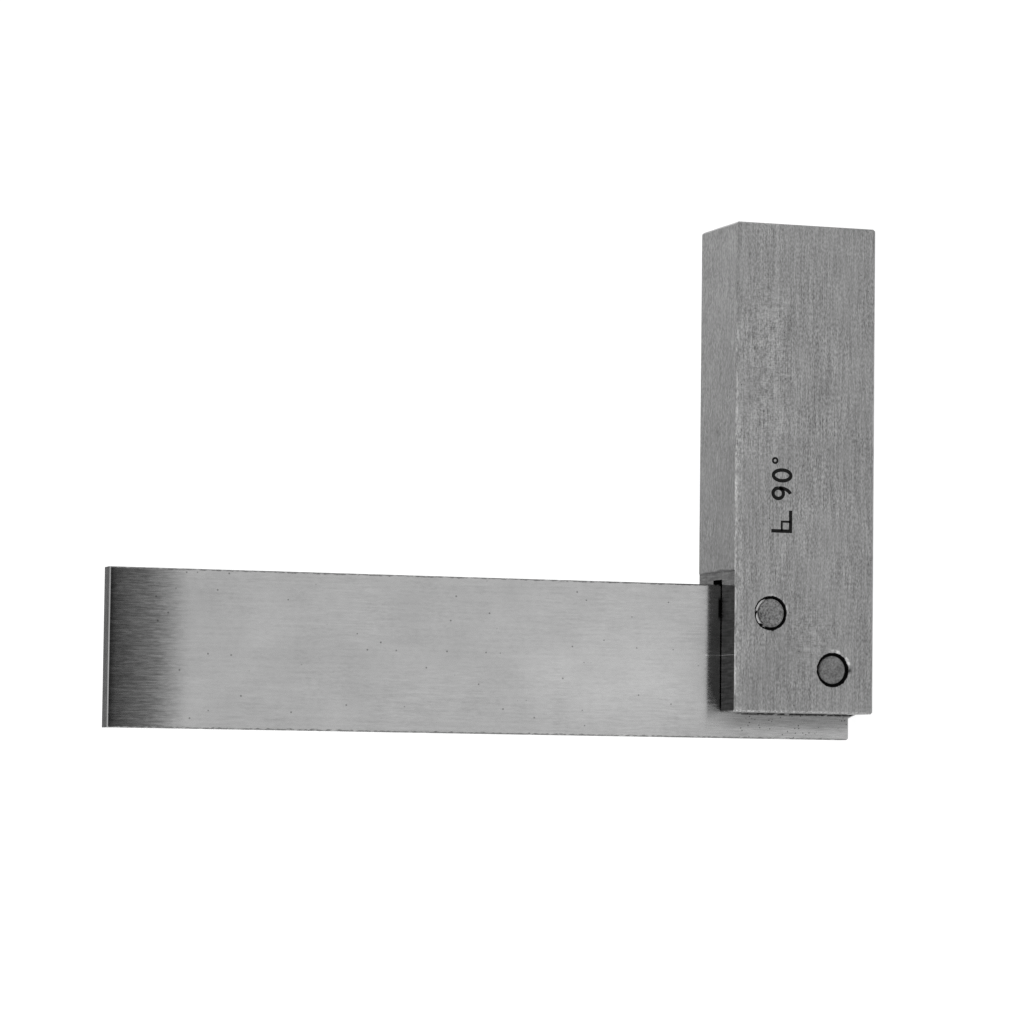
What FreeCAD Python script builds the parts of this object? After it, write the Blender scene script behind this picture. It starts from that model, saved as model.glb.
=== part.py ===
import FreeCAD, Part

import os

# A wide-base steel square. A thick ground stock has a slot milled into its heel end, a flat
# blade stands square in the slot, and two dowel pins through stock and blade hold them together
# for good.
#
# Frame: the square stands on its seat, the stock's long outer face, at Z = 0.
#   X runs along the stock, from its heel end (-X) to its free end (+X).
#   Y runs across the stock's thickness, and the slot lies close to the middle of it.
#   Z runs up the blade, from the seat to the tip.
# The origin is in the seat's plane, under the centre of the whole square. Lengths are in mm.

# The square and its stock
SQUARE_HEIGHT = 100.0       # from the seat to the blade's tip
STOCK_LENGTH = 63.0
STOCK_HEIGHT = 19.4         # from the seat to the stock's inner face
STOCK_THICKNESS = 12.5
STOCK_EDGE_BREAK = 0.25     # bevel on the stock's outer edges

# The blade
BLADE_WIDTH = 19.7
BLADE_THICKNESS = 2.7
BLADE_OVERHANG = 3.3        # how far the blade's outer edge stands past the stock's heel end
BLADE_EDGE_BREAK = 0.15     # bevel round both of the blade's broad faces
HEEL_STEP = 1.3             # the overhanging corner is ground back this far above the seat
HEEL_RUN_OUT = 0.5          # the slope that joins the ground-back corner to the blade's tail
HEEL_ROUND = 0.35           # radius of the ground-back corner
TAIL_RECESS = 0.25          # the blade's tail ends this far inside the seat

# The slot in the stock
SLOT_FRONT_WALL = 4.5       # from the stock's front side to the slot
SLOT_END_GAP = 0.65         # open space past the blade's inner edge
SLOT_FRONT_GAP = 0.25       # between the blade and the slot's front wall
SLOT_REAR_GAP = 0.05        # between the blade and the slot's rear wall

# The shallow relief ground into the stock's inner face beside the blade
RELIEF_PAST_SLOT = 1.05
RELIEF_DEPTH = 0.1

# The pins
PIN_DIAMETER = 4.0
PIN_BEVEL_WIDTH = 0.2       # bevel on the pins' ends, measured along the radius
PIN_BEVEL_LENGTH = 0.4      # the same bevel, measured along the pin
RIM_BEVEL_WIDTH = 0.2       # bevel on the holes' rims, measured along the radius
RIM_BEVEL_DEPTH = 0.3       # the same bevel, measured into the stock

# Each pin's distance from the stock's heel end and its height above the seat
PINS = {
    "upper_pin": {"from_heel": 12.7, "height": 14.4},
    "lower_pin": {"from_heel": 5.6, "height": 5.7},
}

# Places that follow from the sizes
HALF_LENGTH = (BLADE_OVERHANG + STOCK_LENGTH) / 2
BLADE_OUTER_X = -HALF_LENGTH
BLADE_INNER_X = BLADE_OUTER_X + BLADE_WIDTH
STOCK_HEEL_X = BLADE_OUTER_X + BLADE_OVERHANG
STOCK_FREE_X = HALF_LENGTH
STOCK_FRONT_Y = -STOCK_THICKNESS / 2
STOCK_REAR_Y = STOCK_THICKNESS / 2
SLOT_WIDTH = SLOT_FRONT_GAP + BLADE_THICKNESS + SLOT_REAR_GAP
SLOT_FRONT_Y = STOCK_FRONT_Y + SLOT_FRONT_WALL
SLOT_END_X = BLADE_INNER_X + SLOT_END_GAP
BLADE_FRONT_Y = SLOT_FRONT_Y + SLOT_FRONT_GAP
RELIEF_END_X = SLOT_END_X + RELIEF_PAST_SLOT

# Cutting tools run this far past the faces they open
OVERRUN = 1.0

ALONG_Y = FreeCAD.Vector(0, 1, 0)
OUT_OF_FRONT = FreeCAD.Vector(0, -1, 0)


def block(x_range, y_range, z_range):
    """A box between two limits on each axis."""
    size = [high - low for low, high in (x_range, y_range, z_range)]
    corner = FreeCAD.Vector(x_range[0], y_range[0], z_range[0])
    return Part.makeBox(*size, corner)


def pin_centre(pin, y):
    """The point on a pin's axis at the given Y."""
    return FreeCAD.Vector(STOCK_HEEL_X + pin["from_heel"], y, pin["height"])


def pin_hole(pin):
    """A plain hole for a pin, longer than the stock is thick."""
    start = pin_centre(pin, STOCK_FRONT_Y - OVERRUN)
    return Part.makeCylinder(PIN_DIAMETER / 2, STOCK_THICKNESS + 2 * OVERRUN, start, ALONG_Y)


def rim_countersink(pin, face_y, outward):
    """The cone that bevels a hole's rim where it opens on a side of the stock."""
    slope = RIM_BEVEL_WIDTH / RIM_BEVEL_DEPTH
    hole_radius = PIN_DIAMETER / 2
    centre = pin_centre(pin, face_y) - outward * RIM_BEVEL_DEPTH
    length = RIM_BEVEL_DEPTH + OVERRUN
    return Part.makeCone(hole_radius, hole_radius + slope * length, length, centre, outward)


def stock():
    """The thick leg: a bevelled bar with the blade's slot, the relief and the pin holes."""
    body = block((STOCK_HEEL_X, STOCK_FREE_X), (STOCK_FRONT_Y, STOCK_REAR_Y), (0, STOCK_HEIGHT))
    body = body.makeChamfer(STOCK_EDGE_BREAK, body.Edges)
    slot = block(
        (STOCK_HEEL_X - OVERRUN, SLOT_END_X),
        (SLOT_FRONT_Y, SLOT_FRONT_Y + SLOT_WIDTH),
        (-OVERRUN, STOCK_HEIGHT + OVERRUN),
    )
    relief = block(
        (STOCK_HEEL_X - OVERRUN, RELIEF_END_X),
        (STOCK_FRONT_Y - OVERRUN, STOCK_REAR_Y + OVERRUN),
        (STOCK_HEIGHT - RELIEF_DEPTH, STOCK_HEIGHT + OVERRUN),
    )
    body = body.cut([slot, relief])
    for pin in PINS.values():
        front_rim = rim_countersink(pin, STOCK_FRONT_Y, OUT_OF_FRONT)
        rear_rim = rim_countersink(pin, STOCK_REAR_Y, ALONG_Y)
        body = body.cut([pin_hole(pin), front_rim, rear_rim])
    return body


def blade_outline():
    """The blade's broad face as a closed wire, with its heel corner ground back and rounded."""
    tail = (STOCK_HEEL_X, TAIL_RECESS)
    slope_foot = (STOCK_HEEL_X - HEEL_RUN_OUT, HEEL_STEP)
    corners = [
        (BLADE_OUTER_X, HEEL_STEP + HEEL_ROUND),
        (BLADE_OUTER_X, SQUARE_HEIGHT),
        (BLADE_INNER_X, SQUARE_HEIGHT),
        (BLADE_INNER_X, TAIL_RECESS),
        tail,
        slope_foot,
        (BLADE_OUTER_X + HEEL_ROUND, HEEL_STEP),
    ]
    points = [FreeCAD.Vector(x, BLADE_FRONT_Y, z) for x, z in corners]
    edges = [Part.makeLine(start, end) for start, end in zip(points, points[1:])]
    round_centre = FreeCAD.Vector(BLADE_OUTER_X + HEEL_ROUND, BLADE_FRONT_Y, HEEL_STEP + HEEL_ROUND)
    diagonal = FreeCAD.Vector(-1, 0, -1).normalize()
    round_middle = round_centre + diagonal * HEEL_ROUND
    edges.append(Part.Arc(points[-1], round_middle, points[0]).toShape())
    return Part.Wire(edges)


def blade():
    """The thin leg: a flat plate with bevelled faces and two holes for the pins."""
    plate = Part.Face(blade_outline()).extrude(ALONG_Y * BLADE_THICKNESS)
    face_edges = [edge for edge in plate.Edges if edge.BoundBox.YLength < BLADE_EDGE_BREAK]
    plate = plate.makeChamfer(BLADE_EDGE_BREAK, face_edges)
    return plate.cut([pin_hole(pin) for pin in PINS.values()])


def dowel_pin(pin):
    """A pin as long as the stock is thick, ground flush with it, with bevelled ends."""
    start = pin_centre(pin, STOCK_FRONT_Y)
    radius = PIN_DIAMETER / 2
    straight = STOCK_THICKNESS - 2 * PIN_BEVEL_LENGTH
    tip_radius = radius - PIN_BEVEL_WIDTH
    front_end = Part.makeCone(tip_radius, radius, PIN_BEVEL_LENGTH, start, ALONG_Y)
    shank = Part.makeCylinder(radius, straight, start + ALONG_Y * PIN_BEVEL_LENGTH, ALONG_Y)
    rear_start = start + ALONG_Y * (PIN_BEVEL_LENGTH + straight)
    rear_end = Part.makeCone(radius, tip_radius, PIN_BEVEL_LENGTH, rear_start, ALONG_Y)
    return front_end.fuse([shank, rear_end]).removeSplitter()


def all_nodes():
    """Every piece of the square, by name."""
    nodes = {"stock": stock(), "blade": blade()}
    for name, pin in PINS.items():
        nodes[name] = dowel_pin(pin)
    return nodes


os.makedirs("parts", exist_ok=True)
for node_name, shape in all_nodes().items():
    box = shape.BoundBox
    print(
        f"{node_name}: {len(shape.Solids)} solid, valid {shape.isValid()}, {shape.Volume:.1f} mm3, "
        f"X {box.XMin:.2f} to {box.XMax:.2f}, Y {box.YMin:.2f} to {box.YMax:.2f}, "
        f"Z {box.ZMin:.2f} to {box.ZMax:.2f}"
    )
    shape.exportStep(f"parts/{node_name}.step")
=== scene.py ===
import math

import bmesh
import bpy
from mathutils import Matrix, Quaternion, Vector


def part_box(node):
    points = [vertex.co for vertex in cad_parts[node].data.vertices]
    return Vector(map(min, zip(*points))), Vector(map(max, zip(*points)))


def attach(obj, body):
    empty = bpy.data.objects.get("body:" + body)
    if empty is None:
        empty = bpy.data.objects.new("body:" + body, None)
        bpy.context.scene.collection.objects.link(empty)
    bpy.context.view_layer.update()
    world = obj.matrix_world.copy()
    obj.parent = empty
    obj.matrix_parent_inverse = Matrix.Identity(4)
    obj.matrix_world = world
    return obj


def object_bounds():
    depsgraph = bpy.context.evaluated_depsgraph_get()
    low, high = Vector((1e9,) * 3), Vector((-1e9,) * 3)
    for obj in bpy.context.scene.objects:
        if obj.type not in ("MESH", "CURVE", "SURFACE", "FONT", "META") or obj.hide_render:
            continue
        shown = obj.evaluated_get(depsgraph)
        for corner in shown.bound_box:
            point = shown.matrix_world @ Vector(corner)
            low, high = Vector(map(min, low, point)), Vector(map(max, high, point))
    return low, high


# The looks of a wide-base steel square: ground steel with a fine grain, a small printed mark, a
# white light table and even studio light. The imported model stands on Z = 0 with its blade upright
# and its stock along +X. Blender's unit is the metre, so sizes in millimetres are multiplied by MM.

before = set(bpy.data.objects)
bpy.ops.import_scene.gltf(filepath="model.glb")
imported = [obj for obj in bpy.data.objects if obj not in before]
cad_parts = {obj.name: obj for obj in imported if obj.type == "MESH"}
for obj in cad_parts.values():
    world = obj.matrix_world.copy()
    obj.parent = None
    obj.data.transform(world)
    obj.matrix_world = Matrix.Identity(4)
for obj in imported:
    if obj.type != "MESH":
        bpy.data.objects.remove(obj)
cad_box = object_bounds()

MM = 0.001

# Places on the square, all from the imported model
SQUARE_LOW, SQUARE_HIGH = cad_box
STOCK_LOW, STOCK_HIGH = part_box("stock")
BLADE_LOW, BLADE_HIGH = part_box("blade")
PIN_NAMES = ("upper_pin", "lower_pin")
PIN_CENTRES = {name: (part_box(name)[0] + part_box(name)[1]) / 2 for name in PIN_NAMES}
PIN_RADIUS = (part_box("upper_pin")[1].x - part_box("upper_pin")[0].x) / 2

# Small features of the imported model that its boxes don't give
SLOT_END_GAP = 0.65 * MM
SLOT_FRONT_GAP = 0.25 * MM
SLOT_REAR_GAP = 0.05 * MM
RELIEF_PAST_SLOT = 1.05 * MM
STOCK_BEVEL = 0.25 * MM
BLADE_BEVEL = 0.15 * MM
RIM_BEVEL = 0.2 * MM
SLOT_LOW_Y = BLADE_LOW.y - SLOT_FRONT_GAP
SLOT_HIGH_Y = BLADE_HIGH.y + SLOT_REAR_GAP
SLOT_END = BLADE_HIGH.x + SLOT_END_GAP
RELIEF_END = SLOT_END + RELIEF_PAST_SLOT

# Small marks near the heel: a scratch painted bright as a highlight, a dark patch at the blade's foot
# and a smudge
SCRATCH_X = STOCK_LOW.x + 7.3 * MM
SCRATCH_HALF_WIDTH = 0.05 * MM
DARK_PATCH_LOW_X = STOCK_LOW.x + 12.0 * MM
DARK_PATCH_HIGH_X = STOCK_LOW.x + 14.7 * MM
SMUDGE = PIN_CENTRES["lower_pin"] + Vector((-0.05 * MM, 0.0, -2.35 * MM))
SMUDGE_RADIUS = 0.32 * MM

# Oval places on the broad sides, each with its centre's X and Z, half length and half height
RUBBED_PLACES = [
    (21 * MM, 15 * MM, 9 * MM, 5 * MM),
    (10 * MM, 15 * MM, 11 * MM, 6 * MM),
    (-20 * MM, 9 * MM, 8 * MM, 6 * MM),
]
DULL_PLACE = (-24 * MM, 12 * MM, 12 * MM, 9 * MM)
HANDLED_PLACE = (-26 * MM, 34 * MM, 9 * MM, 15 * MM)

# The steels' own greys, from 0 for black to 1 for white
STOCK_GREY = 0.275
BLADE_FOOT_GREY = 0.40
BLADE_TIP_GREY = 0.37
UPPER_PIN_GREY = 0.225
LOWER_PIN_GREY = 0.207

# Noise runs from 0 to 1, but nearly all of it is in the first range, and most in the second
NOISE_SPAN = (0.25, 0.75)
NOISE_BULK = (0.35, 0.65)

# The camera looks down at the front of the square from a little to the left, and is rolled so
# that the stock points up in the picture and the blade points left.
VIEW_AZIMUTH = -4.174
VIEW_ELEVATION = 19.171
VIEW_ROLL = -87.919
VIEW_DISTANCE = 512.4 * MM
VIEW_LENS = 143.63
AIM_LEFT_OF_CENTRE = 5.38 * MM
AIM_BELOW_CENTRE = 0.36 * MM

HAIR = 0.01 * MM            # slack when a mask picks out a flat face


def add_camera():
    """The viewpoint, placed from the square's own box."""
    centre = (SQUARE_LOW + SQUARE_HIGH) / 2
    aim = Vector(
        (centre.x - AIM_LEFT_OF_CENTRE, SQUARE_LOW.y, centre.z - AIM_BELOW_CENTRE)
    )
    azimuth = math.radians(VIEW_AZIMUTH)
    elevation = math.radians(VIEW_ELEVATION)
    level = math.cos(elevation)
    back = Vector((math.sin(azimuth) * level, -math.cos(azimuth) * level, math.sin(elevation)))
    camera_data = bpy.data.cameras.new("camera")
    camera_data.lens = VIEW_LENS
    camera_data.clip_start = 10 * MM
    camera = bpy.data.objects.new("camera", camera_data)
    bpy.context.scene.collection.objects.link(camera)
    camera.location = aim + back * VIEW_DISTANCE
    camera.rotation_mode = "QUATERNION"
    roll = Quaternion((0, 0, 1), math.radians(VIEW_ROLL))
    camera.rotation_quaternion = (-back).to_track_quat("-Z", "Y") @ roll
    bpy.context.scene.camera = camera


class Nodes:
    """Shorthand for building one material's node tree."""

    def __init__(self, name):
        self.material = bpy.data.materials.new(name)
        self.material.use_nodes = True
        self.tree = self.material.node_tree
        self.shader = self.tree.nodes["Principled BSDF"]
        self.place = self.add("ShaderNodeTexCoord").outputs["Object"]
        split = self.add("ShaderNodeSeparateXYZ")
        self.link(self.place, split.inputs[0])
        self.x, self.y, self.z = split.outputs

    def add(self, kind, **settings):
        node = self.tree.nodes.new(kind)
        for key, value in settings.items():
            setattr(node, key, value)
        return node

    def link(self, source, target):
        self.tree.links.new(source, target)

    def feed(self, socket, value):
        """Link a socket to another one, or set it to a plain value."""
        if isinstance(value, bpy.types.NodeSocket):
            self.link(value, socket)
        else:
            socket.default_value = value

    def set(self, **values):
        """Set the shader's own sockets, with spaces in their names written as underscores."""
        for key, value in values.items():
            self.feed(self.shader.inputs[key.replace("_", " ")], value)

    def math(self, operation, *values):
        node = self.add("ShaderNodeMath", operation=operation)
        for socket, value in zip(node.inputs, values):
            self.feed(socket, value)
        return node.outputs[0]

    def total(self, *values):
        result = values[0]
        for value in values[1:]:
            result = self.math("ADD", result, value)
        return result

    def product(self, *values):
        result = values[0]
        for value in values[1:]:
            result = self.math("MULTIPLY", result, value)
        return result

    def inverse(self, mask):
        """1 where a mask is 0, and 0 where it is 1."""
        return self.math("SUBTRACT", 1.0, mask)

    def either(self, *masks):
        """1 where any of the masks is 1."""
        result = masks[0]
        for mask in masks[1:]:
            result = self.math("MAXIMUM", result, mask)
        return result

    def blend(self, mask, outside, inside):
        """One vector or value outside a mask, and another inside it.

        The node's inputs 4 and 5 and its output 1 are the sockets that hold vectors."""
        node = self.add("ShaderNodeMix", data_type="VECTOR")
        self.link(mask, node.inputs[0])
        self.link(outside, node.inputs[4])
        self.link(inside, node.inputs[5])
        return node.outputs[1]

    def noise(self, cell, seed, detail=1.0, roughness=0.5):
        """Noise from 0 to 1 whose cells measure the given lengths along X, Y and Z.

        Each noise has a seed of its own, which shifts it, so that no two are alike."""
        mapping = self.add("ShaderNodeMapping")
        mapping.inputs["Scale"].default_value = [1 / length for length in cell]
        mapping.inputs["Location"].default_value = (seed, 2 * seed, 3 * seed)
        self.link(self.place, mapping.inputs["Vector"])
        noise = self.add("ShaderNodeTexNoise")
        noise.inputs["Scale"].default_value = 1.0
        noise.inputs["Detail"].default_value = detail
        noise.inputs["Roughness"].default_value = roughness
        self.link(mapping.outputs[0], noise.inputs["Vector"])
        return noise.outputs[0]

    def remap(self, value, low, high, to_low=0.0, to_high=1.0):
        """A straight ramp from to_low to to_high as value goes from low to high."""
        node = self.add("ShaderNodeMapRange")
        for key, item in (
            ("Value", value),
            ("From Min", low),
            ("From Max", high),
            ("To Min", to_low),
            ("To Max", to_high),
        ):
            self.feed(node.inputs[key], item)
        return node.outputs[0]

    def ramp(self, value, points):
        """A line through pairs of value and height, level before the first and past the last."""
        result = points[0][1]
        for (low, start), (high, end) in zip(points, points[1:]):
            result = self.total(result, self.remap(value, low, high, 0.0, end - start))
        return result

    def swing(self, noise, amount):
        """Noise turned into a signed variation of about the given amount."""
        return self.remap(noise, *NOISE_SPAN, -amount, amount)

    def vary(self, noise, low, high):
        """Noise turned into a factor that goes from low to high."""
        return self.remap(noise, *NOISE_BULK, low, high)

    def below(self, value, limit, soft=HAIR):
        """1 where value is below the limit, 0 above it."""
        return self.remap(value, limit - soft, limit + soft, 1.0, 0.0)

    def above(self, value, limit, soft=HAIR):
        """1 where value is above the limit, 0 below it."""
        return self.remap(value, limit - soft, limit + soft, 0.0, 1.0)

    def between(self, value, low, high, soft=HAIR):
        """1 where value is between two limits, 0 outside them."""
        return self.product(self.above(value, low, soft), self.below(value, high, soft))

    def tint(self, mask, factor):
        """A multiplier: 1 outside a mask, the factor inside it."""
        return self.remap(mask, 0.0, 1.0, 1.0, factor)

    def from_point(self, centre, stretch=(1, 0, 1)):
        """Distance from a point, or from a line along Y where stretch's Y is 0."""
        offset = self.add("ShaderNodeVectorMath", operation="SUBTRACT")
        self.link(self.place, offset.inputs[0])
        offset.inputs[1].default_value = centre
        flat = self.add("ShaderNodeVectorMath", operation="MULTIPLY")
        self.link(offset.outputs[0], flat.inputs[0])
        flat.inputs[1].default_value = stretch
        length = self.add("ShaderNodeVectorMath", operation="LENGTH")
        self.link(flat.outputs[0], length.inputs[0])
        return length.outputs["Value"]

    def patch(self, x, z, half_length, half_height):
        """A soft oval patch on a broad face, 1 at its centre and 0 at its outline."""
        stretch = (1 / half_length, 0, 1 / half_height)
        return self.remap(self.from_point((x, 0, z), stretch), 0.2, 1.0, 1.0, 0.0)

    def from_edge(self, low, high):
        """Distance from a box's nearest edge, for a point on one of its faces."""
        sides = []
        for value, start, end in zip((self.x, self.y, self.z), low, high):
            after = self.math("SUBTRACT", value, start)
            before = self.math("SUBTRACT", end, value)
            sides.append(self.math("MINIMUM", after, before))
        first = self.math("MINIMUM", sides[0], sides[1])
        second = self.math("MAXIMUM", sides[0], sides[1])
        return self.math("MAXIMUM", first, self.math("MINIMUM", second, sides[2]))

    def grey(self, value):
        """A neutral colour from one value."""
        node = self.add("ShaderNodeCombineColor")
        for channel in node.inputs:
            self.link(value, channel)
        return node.outputs[0]


def cell_along(axis, width, length):
    """A noise cell that is long along one axis and narrow across it."""
    return [length if name == axis else width for name in "XYZ"]


def grain(nodes, axis, seed, width, streaks, speckle, clouds):
    """The brightness of ground steel, near 1, and its fine streaks on their own, from 0 to 1."""
    long_streak = nodes.noise(cell_along(axis, 1.2 * width, 24 * width), seed, 0.0)
    short_streak = nodes.noise(cell_along(axis, width, 2.6 * width), seed + 1)
    band = nodes.noise(cell_along(axis, 1.2 * MM, 25 * MM), seed + 2)
    cloud = nodes.noise((7 * MM, 7 * MM, 7 * MM), seed + 3, 3.0, 0.6)
    calm = nodes.remap(nodes.noise((5 * MM, 5 * MM, 5 * MM), seed + 4), 0.3, 0.7, 0.7, 1.25)
    fine = nodes.total(nodes.swing(long_streak, streaks), nodes.swing(short_streak, speckle))
    brightness = nodes.total(
        1.0,
        nodes.product(fine, calm),
        nodes.swing(band, 0.2 * streaks),
        nodes.swing(cloud, clouds),
    )
    texture = nodes.total(nodes.product(long_streak, 0.3), nodes.product(short_streak, 0.7))
    return brightness, texture


def grain_direction(nodes, axis):
    """The direction across a grain, in which the shader stretches reflections."""
    return nodes.add("ShaderNodeTangent", direction_type="RADIAL", axis=axis).outputs[0]


def two_way_grain(nodes, axis, end_axis, on_end, **looks):
    """Grain along one axis, and along another on the end faces, which the first one pierces.

    Gives the brightness, the fine streaks and the grain's direction."""
    sides = (*grain(nodes, axis, **looks), grain_direction(nodes, axis))
    ends = (*grain(nodes, end_axis, **looks), grain_direction(nodes, end_axis))
    return [nodes.blend(on_end, side, end) for side, end in zip(sides, ends)]


def pits(nodes, seed, cell, radius, share):
    """A mask of small round pits: scattered spots about a cell apart, of which a share is kept."""
    mapping = nodes.add("ShaderNodeMapping")
    mapping.inputs["Location"].default_value = (seed * MM, 2 * seed * MM, 3 * seed * MM)
    nodes.link(nodes.place, mapping.inputs["Vector"])
    spots = nodes.add("ShaderNodeTexVoronoi")
    spots.inputs["Scale"].default_value = 1 / cell
    nodes.link(mapping.outputs[0], spots.inputs["Vector"])
    chance = nodes.add("ShaderNodeSeparateColor")
    nodes.link(spots.outputs["Color"], chance.inputs[0])
    nearly_sharp = 0.001
    return nodes.product(
        nodes.below(spots.outputs["Distance"], radius / cell, 0.2 * radius / cell),
        nodes.below(chance.outputs[0], share, nearly_sharp),
    )


def scratch_highlight_line(nodes):
    """A mask of the thin scratch that runs across the relief and up the blade beside it; it is
    painted bright, as a highlight.
    """
    low = SCRATCH_X - SCRATCH_HALF_WIDTH
    return nodes.between(nodes.x, low, SCRATCH_X + SCRATCH_HALF_WIDTH, 0.03 * MM)


def finish_steel(nodes, direction, brightness, texture, roughness, bump_height, metallic=1.0):
    """Set a ground metal surface with a grain. It is matt wherever it isn't metallic."""
    bump = nodes.add("ShaderNodeBump")
    bump.inputs["Strength"].default_value = 0.6
    bump.inputs["Distance"].default_value = bump_height
    nodes.link(texture, bump.inputs["Height"])
    nodes.set(
        Base_Color=nodes.grey(brightness),
        Metallic=metallic,
        Specular_IOR_Level=0.0,
        Roughness=roughness,
        Anisotropic=1.0,
        Tangent=direction,
        Normal=bump.outputs[0],
    )
    return nodes.material


def groove_and_burr_glint(nodes, pin_name, burr_glint_width):
    """Masks of the groove round a pin on the stock's side, and of a painted highlight on the burr
    outside it.
    """
    centre = PIN_CENTRES[pin_name]
    reach = PIN_RADIUS + RIM_BEVEL + 0.04 * MM
    ragged = nodes.noise((0.5 * MM, 0.5 * MM, 0.5 * MM), 61.0, 2.0)
    off_axis = nodes.math("ADD", nodes.from_point(centre), nodes.swing(ragged, 0.07 * MM))
    upper_right = nodes.math("SUBTRACT", nodes.x, nodes.z)
    burr_glint = nodes.product(
        nodes.between(off_axis, reach + 0.03 * MM, reach + burr_glint_width, 0.08 * MM),
        nodes.above(upper_right, centre.x - centre.z + 2.4 * MM, 0.8 * MM),
        nodes.remap(ragged, 0.4, 0.6),
    )
    return nodes.below(off_axis, reach, 0.03 * MM), burr_glint


def rubbed_over(nodes, curls):
    """Brightness to add in the places where the grain was rubbed over in short curls."""
    places = nodes.total(*(nodes.patch(*place) for place in RUBBED_PLACES))
    cross_lines = nodes.noise(cell_along("Z", 0.17 * MM, 0.6 * MM), 42.0)
    rub = nodes.total(nodes.remap(curls, 0.38, 0.62, -0.11, 0.23), nodes.swing(cross_lines, 0.2))
    return nodes.product(places, rub)


def inner_face_tints(nodes, texture):
    """The inner face, with the relief beside the blade, which was ground across the stock."""
    on_inner_face = nodes.product(
        nodes.above(nodes.z, STOCK_HIGH.z - STOCK_BEVEL / 2),
        nodes.between(nodes.y, STOCK_LOW.y + STOCK_BEVEL, STOCK_HIGH.y - STOCK_BEVEL),
    )
    wander = nodes.swing(nodes.noise((4 * MM, 4 * MM, 4 * MM), 55.0), 0.15 * MM)
    past_end = nodes.math("SUBTRACT", nodes.total(nodes.x, wander), RELIEF_END)
    in_relief = nodes.product(nodes.below(past_end, 0.0), on_inner_face)
    past_relief = nodes.product(on_inner_face, nodes.inverse(in_relief))
    relief_line = nodes.product(
        nodes.between(past_end, -0.1 * MM, 0.15 * MM, 0.08 * MM), on_inner_face
    )
    cross_grain = nodes.noise(cell_along("Y", 0.25 * MM, 3 * MM), 56.0, 2.0, 0.6)
    relief_shade = nodes.remap(cross_grain, 0.3, 0.7, 0.15, 0.54)
    # Painted shade: the inner face darker towards the blade.
    painted_shade_towards_blade = nodes.remap(nodes.x, RELIEF_END, STOCK_HIGH.x, 0.73, 0.97)
    return [
        nodes.tint(in_relief, relief_shade),
        nodes.tint(relief_line, 0.4),
        # The scratch painted bright across the relief: a painted highlight.
        nodes.tint(nodes.product(scratch_highlight_line(nodes), in_relief), 4.0),
        nodes.tint(past_relief, painted_shade_towards_blade),
        nodes.tint(past_relief, nodes.vary(texture, 0.92, 1.08)),
    ]


def worn_edge_highlight_tints(nodes, curls):
    """Worn edges painted bright in places as highlights, most of all along the inner face, with a
    painted highlight strip beside it.
    """
    edge = nodes.below(nodes.from_edge(STOCK_LOW, STOCK_HIGH), STOCK_BEVEL, 0.1 * MM)
    wear = nodes.noise(cell_along("X", 0.3 * MM, 1.5 * MM), 51.0, 2.0)
    # The painted highlight is brightest towards the inner face and the heel end.
    brightest = nodes.product(
        nodes.remap(nodes.z, 0.0, STOCK_HIGH.z, 1.3, 1.9),
        nodes.remap(nodes.x, 15 * MM, 25 * MM, 1.0, 0.6),
    )
    # A patchy painted highlight along the front, just under the inner face.
    worn_highlight_strip = nodes.product(
        nodes.above(nodes.z, STOCK_HIGH.z - 1.0 * MM, 0.3 * MM),
        nodes.below(nodes.x, 8 * MM, 5 * MM),
        nodes.below(nodes.y, STOCK_LOW.y + STOCK_BEVEL),
        nodes.remap(curls, 0.4, 0.6),
    )
    return [nodes.tint(edge, nodes.vary(wear, 0.9, brightest)), nodes.tint(worn_highlight_strip, 1.35)]


def stock_steel():
    nodes = Nodes("stock_steel")
    on_end = nodes.either(
        nodes.below(nodes.x, STOCK_LOW.x + HAIR), nodes.above(nodes.x, STOCK_HIGH.x - HAIR)
    )
    brightness, texture, direction = two_way_grain(
        nodes, "X", "Z", on_end, seed=3.0, width=0.165 * MM, streaks=0.15, speckle=0.35, clouds=0.09
    )
    curls = nodes.noise((1.2 * MM, 1.2 * MM, 1.2 * MM), 41.0, 4.0, 0.75)
    # The slot's walls are painted near-black and matt: painted shade in the deep, narrow slot.
    in_slot = nodes.product(
        nodes.between(nodes.y, SLOT_LOW_Y - HAIR, SLOT_HIGH_Y + HAIR),
        nodes.below(nodes.x, SLOT_END + HAIR),
    )
    upper_groove, upper_burr_glint = groove_and_burr_glint(nodes, "upper_pin", 0.25 * MM)
    lower_groove, lower_burr_glint = groove_and_burr_glint(nodes, "lower_pin", 0.4 * MM)
    slot_shade_and_groove_dirt = nodes.either(in_slot, upper_groove, lower_groove)
    smudge = nodes.below(nodes.from_point(SMUDGE), SMUDGE_RADIUS, 0.2 * MM)
    shade = nodes.product(
        nodes.total(brightness, rubbed_over(nodes, curls)),
        STOCK_GREY,
        *inner_face_tints(nodes, texture),
        *worn_edge_highlight_tints(nodes, curls),
        nodes.tint(nodes.patch(*DULL_PLACE), 0.88),
        nodes.tint(pits(nodes, 7.0, 1.0 * MM, 0.1 * MM, 0.12), 0.5),
        # A painted highlight on the burrs beside the pins.
        nodes.tint(nodes.either(upper_burr_glint, lower_burr_glint), 2.1),
        nodes.tint(smudge, 0.2),
        # Near-black and matt: painted shade in the slot, and dirt in the grooves round the pins.
        nodes.tint(slot_shade_and_groove_dirt, 0.02),
    )
    return finish_steel(
        nodes, direction, shade, texture, 0.28, 0.006 * MM, metallic=nodes.inverse(slot_shade_and_groove_dirt)
    )


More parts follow.
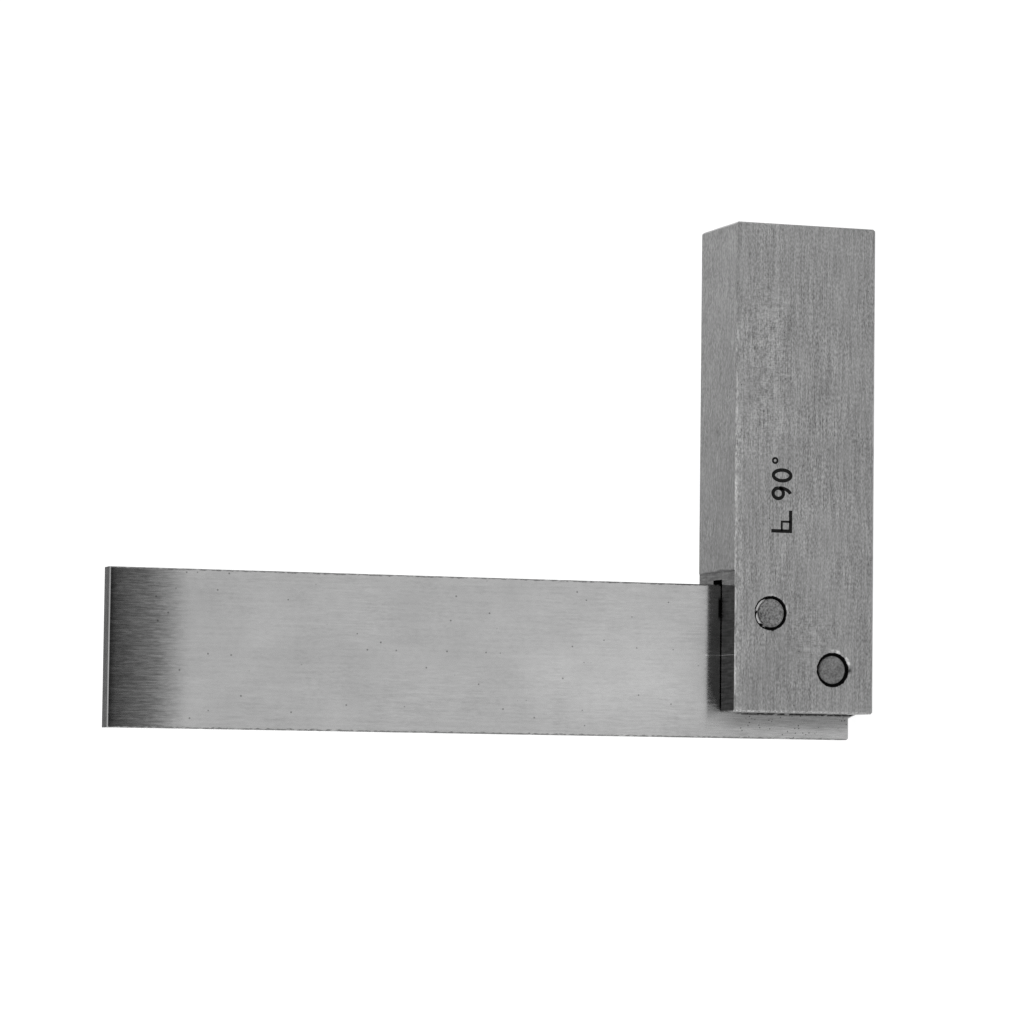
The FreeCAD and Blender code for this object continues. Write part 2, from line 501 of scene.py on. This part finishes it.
def blade_edge_tints(nodes):
    """Dull, ragged edges, and a dark line just below the tip."""
    ragged = nodes.noise(cell_along("Z", 0.3 * MM, 0.7 * MM), 71.0, 2.0)
    edge_distance = nodes.total(
        nodes.from_edge(BLADE_LOW, BLADE_HIGH), nodes.swing(ragged, 0.15 * MM)
    )
    edge = nodes.product(
        nodes.below(edge_distance, BLADE_BEVEL, 0.05 * MM),
        nodes.below(nodes.z, BLADE_HIGH.z - 2 * BLADE_BEVEL),
    )
    tip_line = nodes.ramp(
        nodes.math("SUBTRACT", BLADE_HIGH.z, nodes.z),
        [(0.15 * MM, 1.0), (0.2 * MM, 0.35), (0.35 * MM, 0.5), (1.0 * MM, 1.0)],
    )
    return [nodes.tint(edge, 0.45), tip_line]


def blade_tail_tints(nodes, on_front, streaky):
    """The strip of blade past the stock's heel end: darkened with painted shade, pitted, and with a
    patchy painted shadow beside the stock.
    """
    past_heel = nodes.math("SUBTRACT", STOCK_LOW.x, nodes.x)
    tail = nodes.product(
        nodes.above(past_heel, 0.0), nodes.below(nodes.z, STOCK_HIGH.z - 1 * MM, 2 * MM), on_front
    )
    # Painted shade: the strip darker near the stock.
    painted_tail_shade = nodes.ramp(
        past_heel, [(0.3 * MM, 0.70), (1.0 * MM, 0.61), (1.5 * MM, 0.67), (2.2 * MM, 0.91)]
    )
    patchy = nodes.noise(cell_along("Z", 0.3 * MM, 0.8 * MM), 75.0, 2.0)
    # A patchy painted shadow in the narrow strip right beside the heel.
    heel_shadow = nodes.product(
        tail,
        nodes.below(past_heel, 0.25 * MM, 0.08 * MM),
        nodes.below(nodes.z, STOCK_HIGH.z - 2.5 * MM, 0.5 * MM),
        nodes.above(patchy, 0.43, 0.06),
    )
    clusters = nodes.noise((1.5 * MM, 1.5 * MM, 1.5 * MM), 76.0)
    tail_pits = nodes.product(
        pits(nodes, 16.0, 0.4 * MM, 0.09 * MM, 0.7),
        tail,
        nodes.above(clusters, 0.5, 0.02),
        nodes.below(nodes.z, STOCK_HIGH.z - 2 * MM, 0.5 * MM),
    )
    return [
        nodes.tint(nodes.product(tail, 0.5), streaky),
        nodes.tint(tail, painted_tail_shade),
        nodes.tint(heel_shadow, 0.12),
        nodes.tint(tail_pits, 0.35),
    ]


def blade_foot_tints(nodes, on_front):
    """A dark patch, and the scratch painted bright as a highlight, where the blade comes out of the
    inner face.
    """
    dark_patch = nodes.product(
        nodes.between(nodes.x, DARK_PATCH_LOW_X, DARK_PATCH_HIGH_X, 0.3 * MM),
        nodes.below(nodes.z, STOCK_HIGH.z + 0.3 * MM, 0.08 * MM),
        on_front,
    )
    # The scratch painted bright on the blade: a painted highlight.
    scratch_highlight = nodes.product(
        scratch_highlight_line(nodes), nodes.below(nodes.z, STOCK_HIGH.z + 2 * MM), on_front
    )
    return [nodes.tint(dark_patch, 0.05), nodes.tint(scratch_highlight, 2.0)]


def blade_steel():
    nodes = Nodes("blade_steel")
    on_end = nodes.either(
        nodes.below(nodes.z, BLADE_LOW.z + HAIR), nodes.above(nodes.z, BLADE_HIGH.z - HAIR)
    )
    on_front = nodes.below(nodes.y, BLADE_LOW.y + HAIR)
    brightness, texture, direction = two_way_grain(
        nodes, "Z", "X", on_end, seed=11.0, width=0.30 * MM, streaks=0.045, speckle=0.075, clouds=0.08
    )
    ripples = nodes.noise(cell_along("Z", 0.25 * MM, 2.5 * MM), 78.0, 2.0, 0.6)
    rippled = nodes.above(nodes.noise((9 * MM, 9 * MM, 9 * MM), 79.0), 0.5, 0.08)
    fine_lines = nodes.noise(cell_along("Z", 0.17 * MM, 2.2 * MM), 77.0, 2.0, 0.7)
    streaky = nodes.vary(fine_lines, 0.74, 1.30)
    near_tip = nodes.product(nodes.above(nodes.z, BLADE_HIGH.z - 8 * MM, 2 * MM), on_front)
    shade = nodes.product(
        nodes.total(brightness, nodes.product(rippled, nodes.swing(ripples, 0.09))),
        nodes.remap(nodes.z, 20 * MM, 85 * MM, BLADE_FOOT_GREY, BLADE_TIP_GREY),
        *blade_edge_tints(nodes),
        *blade_tail_tints(nodes, on_front, streaky),
        *blade_foot_tints(nodes, on_front),
        # Painted darkness near the tip, with painted streaks, adding to the dark reflection of the
        # tip card.
        nodes.tint(near_tip, nodes.product(streaky, 0.8)),
        nodes.tint(nodes.patch(*HANDLED_PLACE), 1.15),
        nodes.tint(on_end, 0.25),
        nodes.tint(pits(nodes, 15.0, 1.0 * MM, 0.12 * MM, 0.15), 0.5),
    )
    roughness = nodes.vary(texture, 0.20, 0.30)
    return finish_steel(nodes, direction, shade, texture, roughness, 0.0015 * MM)


def pin_steel(pin_name, seed, own_grey, mottling, glint_above, clean_radius, clean_shift):
    """A pin's steel, with grime on its rim and a painted highlight on part of the rim.

    The first length given is the height over its centre above which the rim shows a painted
    highlight and the thin ring inside it is darker. The rest of the end face is clean inside a
    circle of clean_radius, which lies clean_shift above the centre."""
    nodes = Nodes(pin_name + "_steel")
    centre = PIN_CENTRES[pin_name]
    mottle = nodes.noise((0.3 * MM, 0.3 * MM, 0.3 * MM), seed, 2.0, 0.6)
    blot = nodes.noise((1.0 * MM, 1.0 * MM, 1.0 * MM), seed + 1, 2.0, 0.6)
    gaps = nodes.noise((0.9 * MM, 0.9 * MM, 0.9 * MM), seed + 2)
    off_axis = nodes.from_point(centre)
    off_clean_centre = nodes.from_point(centre + Vector((0, 0, clean_shift)))
    dirty_rim = nodes.above(off_clean_centre, clean_radius, 0.02 * MM)
    upper_side = nodes.above(nodes.z, centre.z + glint_above, 0.3 * MM)
    inner_ring = nodes.between(off_axis, PIN_RADIUS - 0.38 * MM, PIN_RADIUS - 0.26 * MM, 0.05 * MM)
    ring_shade = nodes.remap(upper_side, 0.0, 1.0, 0.8, 0.2)
    # A painted highlight: the rim's upper part is a matt near-white.
    rim_glint = nodes.product(
        nodes.between(off_axis, PIN_RADIUS - 0.17 * MM, PIN_RADIUS - 0.03 * MM, 0.02 * MM),
        upper_side,
        nodes.remap(gaps, 0.4, 0.48),
    )
    face_shade = nodes.product(
        nodes.total(1.0, nodes.swing(mottle, mottling), nodes.swing(blot, 0.2)),
        own_grey,
        nodes.tint(dirty_rim, 0.03),
        nodes.tint(inner_ring, ring_shade),
    )
    shade = nodes.either(face_shade, nodes.product(rim_glint, 0.95))
    direction = grain_direction(nodes, "X")
    return finish_steel(
        nodes, direction, shade, mottle, 0.4, 0.006 * MM, metallic=nodes.inverse(dirty_rim)
    )


def marking_ink():
    nodes = Nodes("marking_ink")
    wear = nodes.noise(cell_along("X", 0.12 * MM, 0.3 * MM), 81.0, 2.0)
    shade = nodes.remap(wear, 0.3, 0.8, 0.003, 0.012)
    nodes.set(Base_Color=nodes.grey(shade), Roughness=0.7, Specular_IOR_Level=0.1)
    return nodes.material


def finish_cad_nodes():
    """Give each CAD node its own steel."""
    finishes = {
        "stock": stock_steel(),
        "blade": blade_steel(),
        "upper_pin": pin_steel(
            "upper_pin", seed=20.0, own_grey=UPPER_PIN_GREY, mottling=0.7,
            glint_above=0.9 * MM, clean_radius=1.84 * MM, clean_shift=-0.04 * MM,
        ),
        "lower_pin": pin_steel(
            "lower_pin", seed=27.0, own_grey=LOWER_PIN_GREY, mottling=0.45,
            glint_above=3 * MM, clean_radius=1.78 * MM, clean_shift=0.11 * MM,
        ),
    }
    for node_name, material in finishes.items():
        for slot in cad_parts[node_name].material_slots:
            slot.material = material


# The printed mark, generic: a right-angle sign and "90°", on the stock's front. It reads along
# +X with its top towards the inner face. Each stroke is a path in the mark's own plane.
MARK_HEIGHT = 2.9 * MM
MARK_STROKE = 0.46 * MM
MARK_THIN_STROKE = 0.6 * MARK_STROKE
MARK_START = -6.8 * MM      # the mark's left end, along X
MARK_FOOT = 11.5 * MM       # the height of its foot above the seat
INK_THICKNESS = 0.005 * MM
ARC_STEPS = 28


def arc(centre, radii, start, end):
    """Points along part of an ellipse, from one angle to another in degrees."""
    points = []
    for step in range(ARC_STEPS + 1):
        angle = math.radians(start + (end - start) * step / ARC_STEPS)
        points.append(
            (centre[0] + radii[0] * math.cos(angle), centre[1] + radii[1] * math.sin(angle))
        )
    return points


def ink_stroke(name, path, width, material):
    """A flat stroke of ink along a path, lying on the stock's front."""
    half = width / 2
    bm = bmesh.new()
    rows = []
    last = len(path) - 1
    for index, point in enumerate(path):
        here = Vector(point)
        before = Vector(path[max(index - 1, 0)])
        after = Vector(path[min(index + 1, last)])
        into = (here - before).normalized() if index else (after - here).normalized()
        out = (after - here).normalized() if index < last else into
        along = (into + out).normalized()
        side = Vector((-along.y, along.x)) * half / max(along.dot(into), 0.5)
        row = []
        for edge in (here + side, here - side):
            for lift in (0.0, INK_THICKNESS):
                row.append(
                    bm.verts.new(
                        (MARK_START + edge.x, STOCK_LOW.y - lift, MARK_FOOT + edge.y)
                    )
                )
        rows.append(row)
    for first, second in zip(rows, rows[1:]):
        for a, b in ((0, 1), (1, 3), (3, 2), (2, 0)):
            bm.faces.new((first[a], first[b], second[b], second[a]))
    for row in (rows[0], rows[-1]):
        bm.faces.new((row[0], row[1], row[3], row[2]))
    bmesh.ops.recalc_face_normals(bm, faces=bm.faces)
    mesh = bpy.data.meshes.new(name)
    bm.to_mesh(mesh)
    bm.free()
    mesh.materials.append(material)
    piece = bpy.data.objects.new(name, mesh)
    bpy.context.scene.collection.objects.link(piece)
    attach(piece, "root")


def add_marking():
    """The whole mark. Its strokes are placed in parts of its height, from its left end and foot."""
    ink = marking_ink()
    h = MARK_HEIGHT
    half = MARK_STROKE / 2
    corner = 0.5 * h
    nine = 1.75 * h
    zero = 2.55 * h
    degree = 3.2 * h
    strokes = {
        "mark_angle": (MARK_STROKE, [(half, h), (half, half), (h, half)]),
        "mark_nine_loop": (MARK_STROKE, arc((nine, 0.68 * h), (0.23 * h, 0.25 * h), 0, 360)),
        "mark_nine_tail": (
            MARK_STROKE, arc((nine - 0.1 * h, 0.62 * h), (0.34 * h, 0.54 * h), 0, -75)
        ),
        "mark_zero": (MARK_STROKE, arc((zero, 0.5 * h), (0.24 * h, 0.42 * h), 0, 360)),
        "mark_corner": (MARK_THIN_STROKE, [(half, corner), (corner, corner), (corner, half)]),
        "mark_degree": (MARK_THIN_STROKE, arc((degree, 0.84 * h), (0.11 * h, 0.11 * h), 0, 360)),
    }
    for name, (width, path) in strokes.items():
        ink_stroke(name, path, width, ink)


# The stage: a floor and three upright cards, which the steel's flat faces mirror
FLOOR_HALF = 4.0
FLOOR_DROP = 0.02 * MM      # the floor lies this far below the seat
WORLD_GLOW = 1.0
FLOOR_GLOW = 0.92


def add_panel(name, corners, material):
    """A flat four-cornered stage piece."""
    mesh = bpy.data.meshes.new(name)
    mesh.from_pydata(corners, [], [(0, 1, 2, 3)])
    mesh.materials.append(material)
    card = bpy.data.objects.new(name, mesh)
    bpy.context.scene.collection.objects.link(card)
    return card


def add_floor():
    """A white light table: it glows softly, so that shadows on it stay faint."""
    nodes = Nodes("light_table")
    nodes.set(
        Base_Color=(0.18, 0.18, 0.18, 1),
        Roughness=0.9,
        Specular_IOR_Level=0.0,
        Emission_Color=(1, 1, 1, 1),
        Emission_Strength=FLOOR_GLOW,
    )
    signs = ((-1, -1), (1, -1), (1, 1), (-1, 1))
    corners = [(x * FLOOR_HALF, y * FLOOR_HALF, -FLOOR_DROP) for x, y in signs]
    add_panel("floor", corners, nodes.material)


def add_card(name, y, low_z, high_z, half_width, glow):
    """An upright card that only the steel's reflections see.

    glow is its strength, or a list of heights where its strength turns, each with the strength."""
    nodes = Nodes(name)
    nodes.set(
        Base_Color=(0, 0, 0, 1),
        Specular_IOR_Level=0.0,
        Emission_Color=(1, 1, 1, 1),
        Emission_Strength=nodes.ramp(nodes.z, glow) if isinstance(glow, list) else glow,
    )
    corners = [
        (-half_width, y, low_z),
        (half_width, y, low_z),
        (half_width, y, high_z),
        (-half_width, y, high_z),
    ]
    card = add_panel(name, corners, nodes.material)
    card.visible_camera = False
    card.visible_diffuse = False
    card.visible_shadow = False
    card.visible_transmission = False
    card.visible_volume_scatter = False


def add_cards():
    """One card in front of the tip that fades to dark upwards, a dim one far in front of the
    square, and a bright one behind it."""
    add_card(
        "tip_card", y=-20 * MM, low_z=85 * MM, high_z=130 * MM, half_width=400 * MM,
        glow=[(85.6 * MM, 1.0), (87.5 * MM, 0.7), (89.5 * MM, 0.43), (95 * MM, 0.085)],
    )
    add_card(
        "front_card", y=-900 * MM, low_z=0.0, high_z=1000 * MM, half_width=1500 * MM, glow=0.57
    )
    add_card(
        "back_card", y=200 * MM, low_z=0.0, high_z=400 * MM, half_width=900 * MM,
        glow=[(110 * MM, 1.8), (140 * MM, 0.47)],
    )


def add_world():
    """Even white light from all round."""
    world = bpy.data.worlds.new("studio")
    bpy.context.scene.world = world
    world.use_nodes = True
    background = world.node_tree.nodes["Background"]
    background.inputs["Color"].default_value = (1, 1, 1, 1)
    background.inputs["Strength"].default_value = WORLD_GLOW


bpy.context.scene.view_settings.view_transform = "Standard"
add_camera()
finish_cad_nodes()
add_marking()
add_floor()
add_cards()
add_world()
